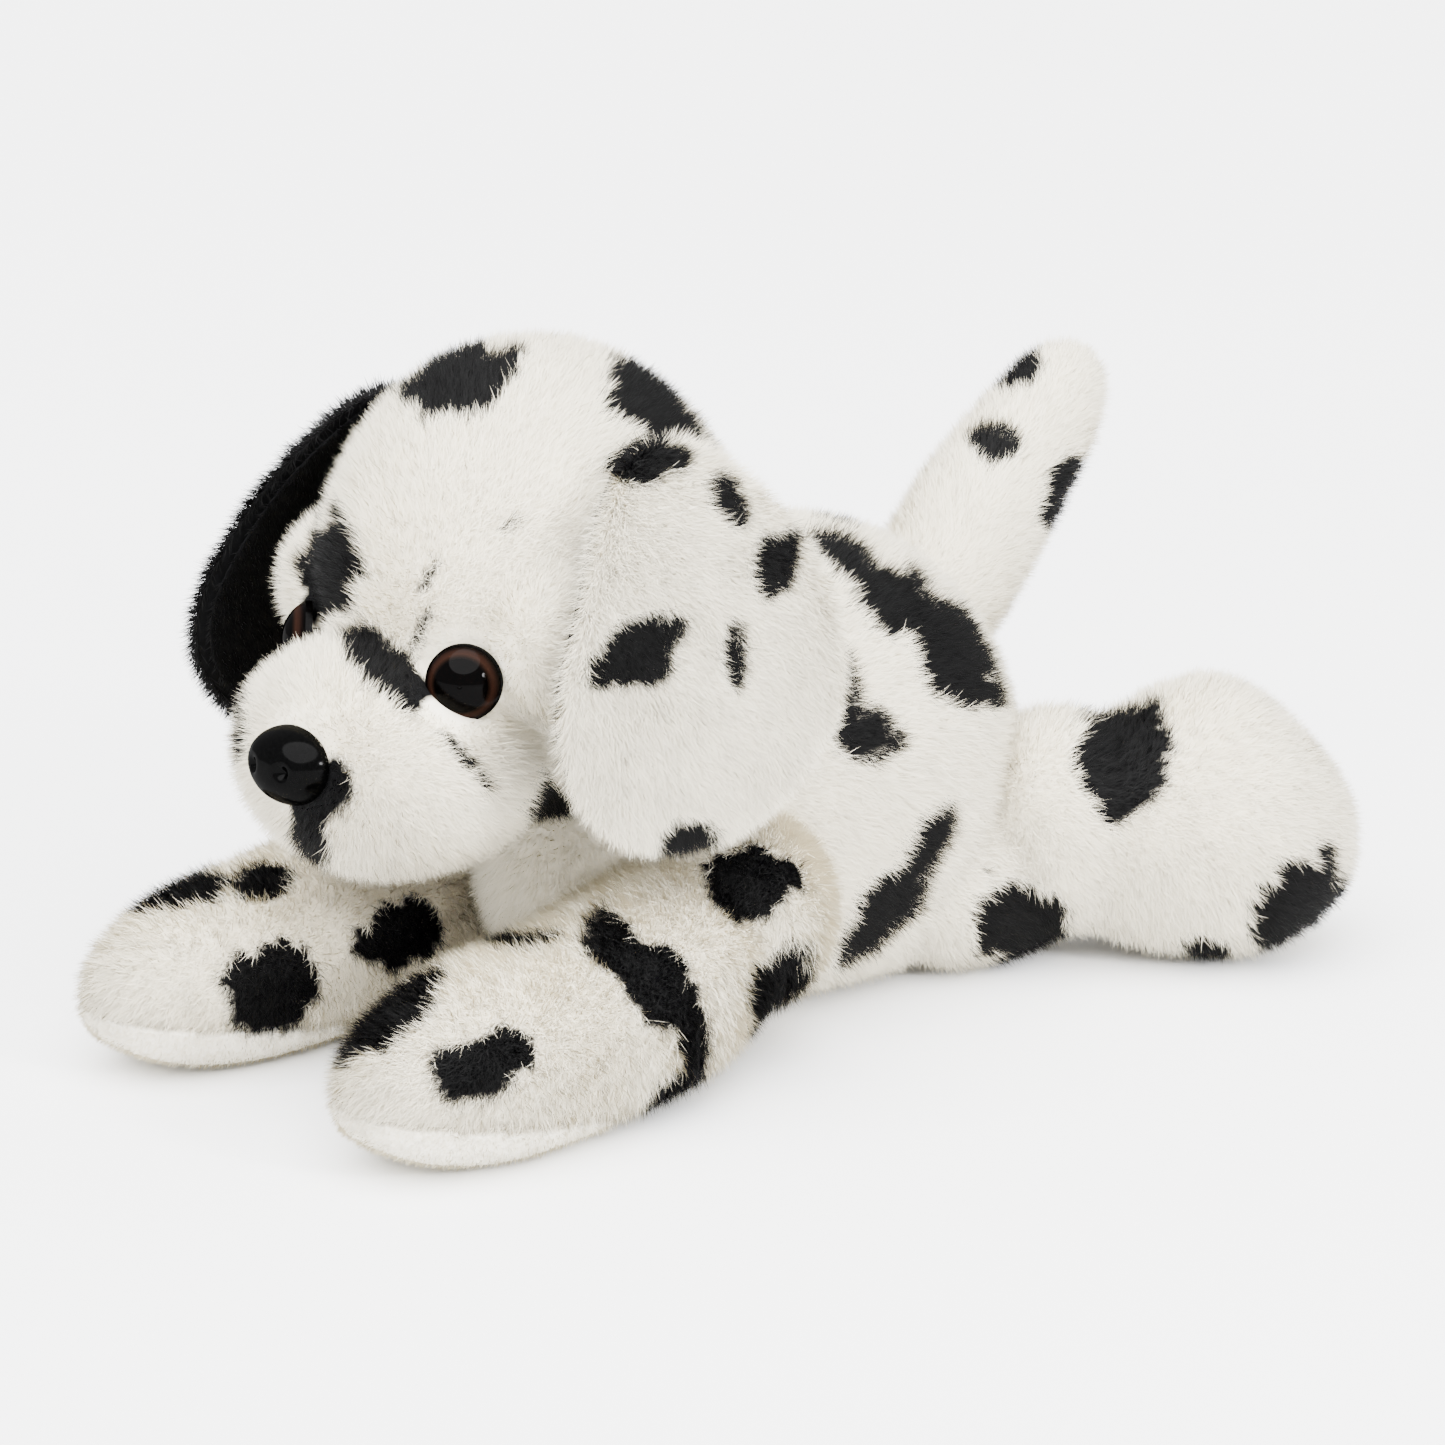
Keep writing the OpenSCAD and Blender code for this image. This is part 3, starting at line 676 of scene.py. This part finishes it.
def finish_material(mat, base, normal=None, **plain):
    """Ends the chain: the shader with its plain values, and the material's output."""
    shader = add(mat, "ShaderNodeBsdfPrincipled", [("Base Color", base)]
                 + [(key.replace("_", " "), value) for key, value in plain.items()])
    if normal is not None:
        mat.node_tree.links.new(normal, shader.inputs["Normal"])
    add(mat, "ShaderNodeOutputMaterial", [("Surface", shader.outputs[0])])
    return mat


def ramp(mat, factor, stops):
    """A colour ramp through (place, sRGB code) stops."""
    made = add(mat, "ShaderNodeValToRGB", [(0, factor)])
    band = made.color_ramp.elements
    while len(band) < len(stops):
        band.new(0.5)
    for element, (place, code) in zip(band, stops):
        element.position, element.color = place, colour(code)
    return made.outputs[0]


def mixed(mat, factor, a, b, blend="MIX"):
    made = add(mat, "ShaderNodeMix", data_type="RGBA", blend_type=blend)
    for socket, value in ((0, factor), (6, a), (7, b)):
        if isinstance(value, bpy.types.NodeSocket):
            mat.node_tree.links.new(value, made.inputs[socket])
        else:
            made.inputs[socket].default_value = value
    return made.outputs[2]


def noise(mat, size_mm, detail=2.0, roughness=0.5):
    """Noise whose features are about size_mm across, in the object's own coordinates."""
    place = add(mat, "ShaderNodeTexCoord").outputs["Object"]
    return add(mat, "ShaderNodeTexNoise", [("Vector", place), ("Scale", 1 / (size_mm * MM)),
                                           ("Detail", detail), ("Roughness", roughness)]
               ).outputs["Fac"]


def bump(mat, height, strength, depth_mm):
    return add(mat, "ShaderNodeBump", [("Height", height), ("Strength", strength),
                                       ("Distance", depth_mm * MM)]).outputs[0]


# %% [markdown]
# Pile fibre is polyester and matt. Its colour is painted darker at the root, as painted shade
# deep in the pile, and paler towards its tip, as painted light passing through it. The
# backing cloth is knitted polyester dyed the same way as the pile on it.

# %% Cloth and fibre materials
pile_cloth = new_material("polyester_pile_fibre")
card = add(pile_cloth, "ShaderNodeSeparateXYZ", [
    (0, add(pile_cloth, "ShaderNodeUVMap", uv_map="OFBake").outputs[0])])
is_black = add(pile_cloth, "ShaderNodeMath", [(0, card.outputs[0]), (1, 0.5)],
               operation="GREATER_THAN").outputs[0]
shade = add(pile_cloth, "ShaderNodeMath", [(0, card.outputs[0]), (1, 0.5)],
            operation="MODULO").outputs[0]
# Painted shade and light: the white fibre runs from a darker cream at the root to a paler tip.
white = ramp(pile_cloth, card.outputs[1], [(0, "e6ddc3"), (0.5, "f1e8d0"), (1, "f8f1dc")])
white = mixed(pile_cloth, ramp(pile_cloth, shade, [(0, "808080"), (0.5, "000000")]), white,
              colour("ece3cb"))
# Painted shade and light: the black fibre is a little lighter towards its tip.
black = ramp(pile_cloth, card.outputs[1], [(0, "010101"), (0.6, "020202"), (1, "070707")])
finish_material(pile_cloth, mixed(pile_cloth, is_black, white, black),
                Roughness=0.6, Specular_IOR_Level=0.12)

knit = new_material("knitted_backing_cloth")
patch = add(knit, "ShaderNodeAttribute", attribute_name="patch").outputs["Fac"]
weave = noise(knit, 1.2, 4)
pale = ramp(knit, weave, [(0.3, "e8e0cb"), (0.7, "f0e9d6")])
dark = ramp(knit, weave, [(0.3, "020202"), (0.7, "070708")])
finish_material(knit, mixed(knit, patch, pale, dark), bump(knit, weave, 0.5, 0.3),
                Roughness=0.85, Specular_IOR_Level=0.08)

short_pile = new_material("brushed_sole_plush")
nap = noise(short_pile, 0.8, 4, 0.6)
finish_material(short_pile, ramp(short_pile, nap, [(0.25, "e0d9c6"), (0.75, "f5f0e0")]),
                bump(short_pile, nap, 0.7, 0.5), Roughness=0.5, Sheen_Weight=0.3)

velour = new_material("black_velour_lining")
nap = noise(velour, 0.6, 4, 0.6)
finish_material(velour, ramp(velour, nap, [(0.3, "010102"), (0.7, "070709")]),
                bump(velour, nap, 0.6, 0.4), Roughness=0.8, Specular_IOR_Level=0.1)

fibrefill = new_material("carded_polyester_filling")
wisps = noise(fibrefill, 3, 6, 0.7)
finish_material(fibrefill, ramp(fibrefill, wisps, [(0.3, "e4e3df"), (0.7, "fafaf8")]),
                bump(fibrefill, wisps, 0.8, 1.5), Roughness=0.9)

pouch_cloth = new_material("woven_pellet_pouch")
lumps = add(pouch_cloth, "ShaderNodeTexVoronoi", [
    ("Vector", add(pouch_cloth, "ShaderNodeTexCoord").outputs["Object"]),
    ("Scale", 1 / (2.6 * MM))]).outputs["Distance"]
finish_material(pouch_cloth, ramp(pouch_cloth, lumps, [(0.0, "d0cfc9"), (0.8, "b5b4ad")]),
                bump(pouch_cloth, lumps, 0.8, 0.8), Roughness=0.8)

# %% [markdown]
# The eye is the usual safety eye: a clear lens cast over a disc printed with a brown iris,
# drawn here as a print under a hard clear coat. The rings of the print are drawn by the
# distance from the line the eye looks along. Both eyes share the material, because it is drawn
# for the left one and mirrored by taking absolute coordinates.

# %% Plastic materials
EYE_YAW, EYE_TILT, EYE_RADIUS = math.radians(38), math.radians(5), 5.5
EYE_CENTRE_M = (0.0175, 0.069, 0.064)
GAZE = (math.sin(EYE_YAW) * math.cos(EYE_TILT), -math.cos(EYE_YAW) * math.cos(EYE_TILT),
        math.sin(EYE_TILT))

iris = new_material("printed_brown_iris")
place = add(iris, "ShaderNodeVectorMath", [
    (0, add(iris, "ShaderNodeTexCoord").outputs["Object"])], operation="ABSOLUTE").outputs[0]
arm = add(iris, "ShaderNodeVectorMath", [(0, place), (1, EYE_CENTRE_M)],
          operation="SUBTRACT").outputs[0]
across = add(iris, "ShaderNodeVectorMath", [(0, arm), (1, (GAZE[0], -GAZE[1], GAZE[2]))],
             operation="CROSS_PRODUCT").outputs[0]
distance = add(iris, "ShaderNodeVectorMath", [(0, across)], operation="LENGTH").outputs["Value"]
radius = add(iris, "ShaderNodeMath", [(0, distance), (1, 1 / (EYE_RADIUS * MM))],
             operation="MULTIPLY").outputs[0]
print_rings = ramp(iris, radius, [
    (0.0, "010101"), (0.68, "010101"), (0.73, "0b0604"), (0.80, "1d100b"), (0.87, "180d09"),
    (0.92, "080403"), (0.96, "010101"), (1.0, "010101")])
flecks = noise(iris, 0.5, 3)
iris_colour = mixed(iris, ramp(iris, flecks, [(0.35, "000000"), (0.75, "4a4a4a")]),
                    print_rings, colour("140806"))
finish_material(iris, iris_colour, Roughness=0.5, Specular_IOR_Level=0.0, Coat_Weight=0.05,
                Coat_Roughness=0.03)

hard_black = new_material("moulded_black_nose_plastic")
grain = noise(hard_black, 0.5, 3, 0.6)
finish_material(hard_black, ramp(hard_black, grain, [(0.3, "010101"), (0.7, "030303")]),
                bump(hard_black, grain, 0.6, 0.3), Roughness=0.5, Specular_IOR_Level=0.0,
                Coat_Weight=0.05, Coat_Roughness=0.12)

washer = new_material("white_washer_plastic")
flow_marks = noise(washer, 3, 2)
finish_material(washer, ramp(washer, flow_marks, [(0.3, "dcdcd8"), (0.7, "ecece9")]),
                Roughness=0.45)


def dress(obj, mat):
    obj.data.materials.clear()
    obj.data.materials.append(mat)
    return obj


print(len(bpy.data.materials), "materials made")

# %% [markdown]
# The nose is a moulded cap, wider above than below, with two shallow nostrils.

# %% Nose
NOSE_SEAT = [0, -85.7, 51.8]


def nose_cap(width=7.5, height=5.7, depth=5.6, rings=40, sides=72):
    """Rings at radius r from 0 to 1: x = width r cos a (1 + 0.1 sin a), z = height r sin a, and
    it stands depth (1 - r**2.6)**0.6 forward, less two dimples exp(-d**2)."""
    r = np.sin(np.pi / 2 * np.arange(1, rings + 1) / rings)[:, None]
    a = (2 * np.pi * np.arange(sides) / sides)[None, :]
    x = width * r * np.cos(a) * (1 + 0.10 * np.sin(a))
    z = height * r * np.sin(a)
    out = depth * np.maximum(1 - r ** 2.6, 0) ** 0.6 + 0 * a
    for s in (1, -1):
        out = out - 1.2 * np.exp(-((x - s * 3.1) / 0.85) ** 2 - ((z + 0.2) / 0.95) ** 2)
    p = np.stack([x, -out, z + 0 * a], -1).reshape(-1, 3)
    back_of_cap = 1.5
    p = np.vstack([p, [0, -depth, 0], [0, back_of_cap, 0]])
    i, j = np.meshgrid(np.arange(rings - 1), np.arange(sides), indexing="ij")
    c, d = i * sides + j, i * sides + (j + 1) % sides
    quads = np.stack([c, c + sides, d + sides, d], -1).reshape(-1, 4)
    j = np.arange(sides)
    front, back, rim = len(p) - 2, len(p) - 1, (rings - 1) * sides
    caps = np.vstack([np.stack([0 * j + front, j, (j + 1) % sides], 1),
                      np.stack([0 * j + back, rim + (j + 1) % sides, rim + j], 1)])
    tip = math.radians(-8)
    turned = np.stack([p[:, 0], p[:, 1] * math.cos(tip) - p[:, 2] * math.sin(tip),
                       p[:, 1] * math.sin(tip) + p[:, 2] * math.cos(tip)], 1)
    return turned + NOSE_SEAT, quads.tolist() + caps.tolist()


nose_piece = dress(mesh_object("nose_cap", *nose_cap()), hard_black)

# %% [markdown]
# The ear linings are thin sheets of velour sewn to the inside of each ear. The soles are
# panels of short brushed plush let into the underside of the front paws.

# %% Linings and soles
left_lining = dress(mesh_object("left_ear_lining_skin", *ear_form(-2.2, 0.8, 77, 0, 1.0)), velour)
right_lining = dress(mesh_object("right_ear_lining_skin",
                                 *mirrored(ear_form(-2.2, 1.8, 96, 7, 3.0, 0.78))), velour)


def sole_panel(name, form):
    """The faces of a paw form that lie low and forward, as an open panel 1.6 mm thick."""
    p, faces = form
    low = np.array([on_sole(p[face]).all() for face in faces])
    kept = [face for face, use in zip(faces, low) if use]
    used = np.unique(np.concatenate([np.array(face) for face in kept]))
    place = np.full(len(p), -1)
    place[used] = np.arange(len(used))
    obj = mesh_object(name, p[used], [[int(place[k]) for k in face] for face in kept])
    thick = obj.modifiers.new("thickness", "SOLIDIFY")
    thick.thickness = 1.6 * MM
    thick.offset = -1
    return dress(obj, short_pile)


sole_form = soft_form(front_stations, 0.9, 3.0, 0, 80, 72, 0.55)
left_sole = sole_panel("left_paw_sole_panel", sole_form)
right_sole = sole_panel("right_paw_sole_panel", mirrored(sole_form))

# %% [markdown]
# Every skin is tinted where the pile above it is black, then planted with pile. A patch of
# pile is left out where another part covers it, and the count is kept even per square
# millimetre.

# %% Plant the pile
def tint(skin, spots, all_black=False):
    """Stores the spots on the skin's own vertices for its material to read."""
    co, no, _ = surface_of(skin)
    value = np.ones(len(co)) if all_black else in_spots(co, no, spots)
    layer = skin.data.attributes.new("patch", "FLOAT", "POINT")
    layer.data.foreach_set("value", value.astype(np.float32))
    dress(skin, knit)


tint(body_skin, body_spots)
tint(neck_skin, [])
tint(head_skin, head_spots_and_painted_shade)
tint(tail_skin, tail_spots)
tint(left_ear_skin, left_ear_spots)
tint(right_ear_skin, [], True)
tint(left_front_skin, left_front_spots)
tint(right_front_skin, right_front_spots)
tint(left_hind_skin, left_hind_spots)
tint(right_hind_skin, right_hind_spots)

furs = {}
BLADES, NEEDLES = 27000, 89000


def plant(group, skin, pieces, share, seed, lay, keep, **more):
    furs[group] = [dress(pile(f"{group}_pile_{k + 1}", skin, int(BLADES * share),
                              int(NEEDLES * share), seed + 50 * k, lay, keep, **more),
                         pile_cloth) for k in range(pieces)]


plant("body", body_skin, 2, 1, 11, body_lay,
      lambda p, n: ~(in_head(p, 6) | in_front(p, False, 6) | in_front(p, True, 6)
                     | in_hind(p, False, 6) | in_hind(p, True, 6) | in_tail(p, 6))
      & (p[:, 2] > 1), spots=body_spots)
plant("neck", neck_skin, 1, 0.2, 12, body_lay, lambda p, n: ~(in_head(p, 5) | in_body(p)))
plant("head", head_skin, 2, 1, 13, face_lay,
      lambda p, n: ~in_body(p, 6) & away_from_features(p), spots=head_spots_and_painted_shade, shorter=face_length)
plant("left_ear", left_ear_skin, 1, 1, 14, ear_lay,
      lambda p, n: n[:, 0] > -0.75, spots=left_ear_spots)
plant("right_ear", right_ear_skin, 1, 0.6, 15, ear_lay,
      lambda p, n: n[:, 0] < 0.75, black_all=True, length=3.4, width=0.15)
plant("left_front_leg", left_front_skin, 1, 1, 16, leg_lay,
      lambda p, n: ~(in_body(p, 6) | on_sole(p)) & (p[:, 2] > 0.5), spots=left_front_spots)
plant("right_front_leg", right_front_skin, 1, 0.8, 17, leg_lay,
      lambda p, n: ~(in_body(p, 6) | on_sole(p)) & (p[:, 2] > 0.5), spots=right_front_spots)
plant("left_hind_leg", left_hind_skin, 1, 1, 18, hind_lay,
      lambda p, n: ~in_body(p, 6) & (p[:, 2] > 0.5), spots=left_hind_spots)
plant("right_hind_leg", right_hind_skin, 1, 0.8, 19, hind_lay,
      lambda p, n: ~in_body(p, 6) & (p[:, 2] > 0.5), spots=right_hind_spots)
plant("tail", tail_skin, 1, 0.55, 20, tail_lay, lambda p, n: ~in_body(p, 6), spots=tail_spots)
plant("left_lining", left_lining, 1, 0.2, 21, ear_lay, lambda p, n: n[:, 0] < 0.3,
      black_all=True, length=1.8, lean=(30, 50), width=0.15)
plant("right_lining", right_lining, 1, 0.3, 22, ear_lay, lambda p, n: n[:, 0] > -0.3,
      black_all=True, length=1.8, lean=(30, 50), width=0.15)
plant("left_sole", left_sole, 1, 0.12, 23, leg_lay, lambda p, n: n[:, 2] < 0.6, length=1.6,
      lean=(30, 50))
plant("right_sole", right_sole, 1, 0.12, 24, leg_lay, lambda p, n: n[:, 2] < 0.6, length=1.6,
      lean=(30, 50))

# %% [markdown]
# The pieces of the body, neck and head each hang from an empty for the part they belong to.
# A limb's cloth is sewn to the body. The pieces of the tail, legs and ears are fixed where they
# are drawn, and the table of seams, which gives for each the part it is sewn to, the part itself
# and two points, is read only for its names. Each skin with its pile takes the place of the
# plain cover and filling inside it. What stays of the drawn model is hard plastic and the
# pellet pouches.


hip_out = np.array([math.sin(hb), math.cos(hb), 0])
seams = {
    "tail": ("body", "tail", TAIL - [0, 4, 4], TAIL + [0, 7, 7]),
    "left_front_leg": ("body", "left_front_leg", SHOULDER + [0, 6, 0], SHOULDER - [0, 16, 0]),
    "right_front_leg": ("body", "right_front_leg", SHOULDER * [-1, 1, 1] + [0, 6, 0],
                        SHOULDER * [-1, 1, 1] - [0, 16, 0]),
    "left_hind_leg": ("body", "left_hind_leg", HIP - 6 * hip_out, HIP + 16 * hip_out),
    "right_hind_leg": ("body", "right_hind_leg", (HIP - 6 * hip_out) * [-1, 1, 1],
                       (HIP + 16 * hip_out) * [-1, 1, 1]),
    "left_ear": ("head", "left_ear", [27, -42, 97], [31, -42, 86]),
    "right_ear": ("head", "right_ear", [-27, -42, 97], [-31, -42, 86]),
}
skins = {
    "body": (body_skin, ["body_cover", "body_filling"]),
    "neck": (neck_skin, ["neck_cover", "neck_filling"]),
    "head": (head_skin, ["head_cover", "head_filling"]),
    "tail": (tail_skin, ["tail_cover", "tail_filling"]),
    "left_ear": (left_ear_skin, ["left_ear_outer"]),
    "right_ear": (right_ear_skin, ["right_ear_outer"]),
    "left_front_leg": (left_front_skin,
                       ["left_front_leg_cover", "left_front_leg_filling"]),
    "right_front_leg": (right_front_skin,
                       ["right_front_leg_cover", "right_front_leg_filling"]),
    "left_hind_leg": (left_hind_skin,
                       ["left_hind_leg_cover", "left_hind_leg_filling"]),
    "right_hind_leg": (right_hind_skin,
                       ["right_hind_leg_cover", "right_hind_leg_filling"]),
}
extra = {"left_ear": [left_lining, *furs["left_lining"]],
         "right_ear": [right_lining, *furs["right_lining"]],
         "left_front_leg": [left_sole, *furs["left_sole"]],
         "right_front_leg": [right_sole, *furs["right_sole"]]}
for group, (skin, covers) in skins.items():
    for piece in [skin, *furs[group], *extra.get(group, [])]:
        if group in seams:
            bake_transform(piece)
        else:
            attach(piece, group)
    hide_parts(*covers)

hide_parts("left_ear_lining")
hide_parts("right_ear_lining")
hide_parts("left_paw_sole")
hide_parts("right_paw_sole")
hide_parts("nose")
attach(nose_piece, "head")

for name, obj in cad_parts.items():
    for word, mat in (("filling", fibrefill), ("pouch", pouch_cloth), ("washer", washer),
                      ("dome", iris), ("post", iris), ("cover", knit), ("sole", short_pile),
                      ("lining", velour), ("outer", velour), ("nose", hard_black)):
        if word in name:
            dress(obj, mat)
            break

# %% [markdown]
# The toy is seen from in front and to its left, a little above, on a pale floor under soft
# light from a large panel overhead.

# %% Studio
def area_light(name, place, target, size, power):
    lamp = bpy.data.lights.new(name, "AREA")
    lamp.shape = "DISK"
    lamp.size = size
    lamp.energy = power
    obj = bpy.data.objects.new(name, lamp)
    bpy.context.scene.collection.objects.link(obj)
    obj.location = place
    obj.rotation_euler = (Vector(target) - Vector(place)).to_track_quat("-Z", "Y").to_euler()
    return obj


TARGET = Vector((0, 0, 0.0407))
AZIMUTH, ELEVATION, DISTANCE = math.radians(45), math.radians(16), 0.7
FOCAL_LENGTH = 112.5
lens_camera = bpy.data.cameras.new("camera")
lens_camera.lens = FOCAL_LENGTH
camera = bpy.data.objects.new("camera", lens_camera)
bpy.context.scene.collection.objects.link(camera)
camera.location = TARGET + DISTANCE * Vector((
    math.sin(AZIMUTH) * math.cos(ELEVATION), -math.cos(AZIMUTH) * math.cos(ELEVATION),
    math.sin(ELEVATION)))
camera.rotation_euler = (TARGET - camera.location).to_track_quat("-Z", "Y").to_euler()
bpy.context.scene.camera = camera

floor_mat = new_material("matt_studio_paper")
finish_material(floor_mat, ramp(floor_mat, noise(floor_mat, 400, 1),
                                [(0.3, "f4f4f4"), (0.7, "f7f7f7")]), Roughness=0.9)
floor_plane = dress(mesh_object("floor", [[-4000, -4000, 0], [4000, -4000, 0], [4000, 4000, 0],
                                          [-4000, 4000, 0]], [[0, 1, 2, 3]]), floor_mat)

world = bpy.data.worlds.new("soft_room")
bpy.context.scene.world = world
world.use_nodes = True
world.node_tree.nodes["Background"].inputs[0].default_value = colour("fbfcff")
world.node_tree.nodes["Background"].inputs[1].default_value = 2.1
overhead = bpy.data.lights.new("overhead_panel", "SUN")
overhead.energy = 14.0
overhead.angle = math.radians(75)
overhead_lamp = bpy.data.objects.new("overhead_panel", overhead)
bpy.context.scene.collection.objects.link(overhead_lamp)
overhead_lamp.rotation_euler = (math.radians(20), math.radians(14), 0)
area_light("side_lamp", (0.74, 0.02, 0.33), (0, -0.05, 0.06), 0.14, 9.0)
